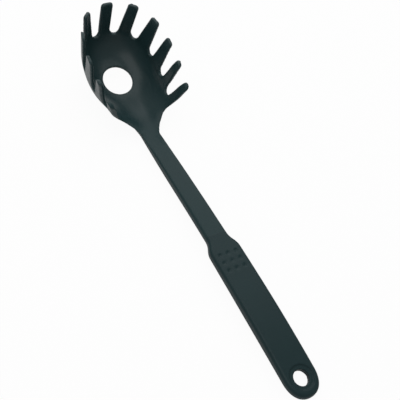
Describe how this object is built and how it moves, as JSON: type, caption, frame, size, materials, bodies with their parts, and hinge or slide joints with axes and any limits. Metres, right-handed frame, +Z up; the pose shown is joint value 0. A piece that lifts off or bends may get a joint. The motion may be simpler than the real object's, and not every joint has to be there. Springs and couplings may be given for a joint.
{
  "type": "pasta server",
  "caption": "Moulded nylon pasta server: a deep scoop ringed with flat tines, a round portion hole, a slim arched shaft and a wider grip with a hanging hole.",
  "frame": {"origin": "under the middle of the tool's box, on the table that it lies on, tines up", "axes": "+X from the scoop to the hanging hole, +Z up off the table, +Y across the tool"},
  "size_m": [0.3136, 0.0678, 0.0567],
  "materials": {
    "head_nylon": "satin moulded nylon, near black",
    "grip_nylon": "satin moulded nylon, near black"
  },
  "bodies": {
    "root": {"server_head": "head_nylon", "grip": "grip_nylon"}
  },
  "joints": []
}
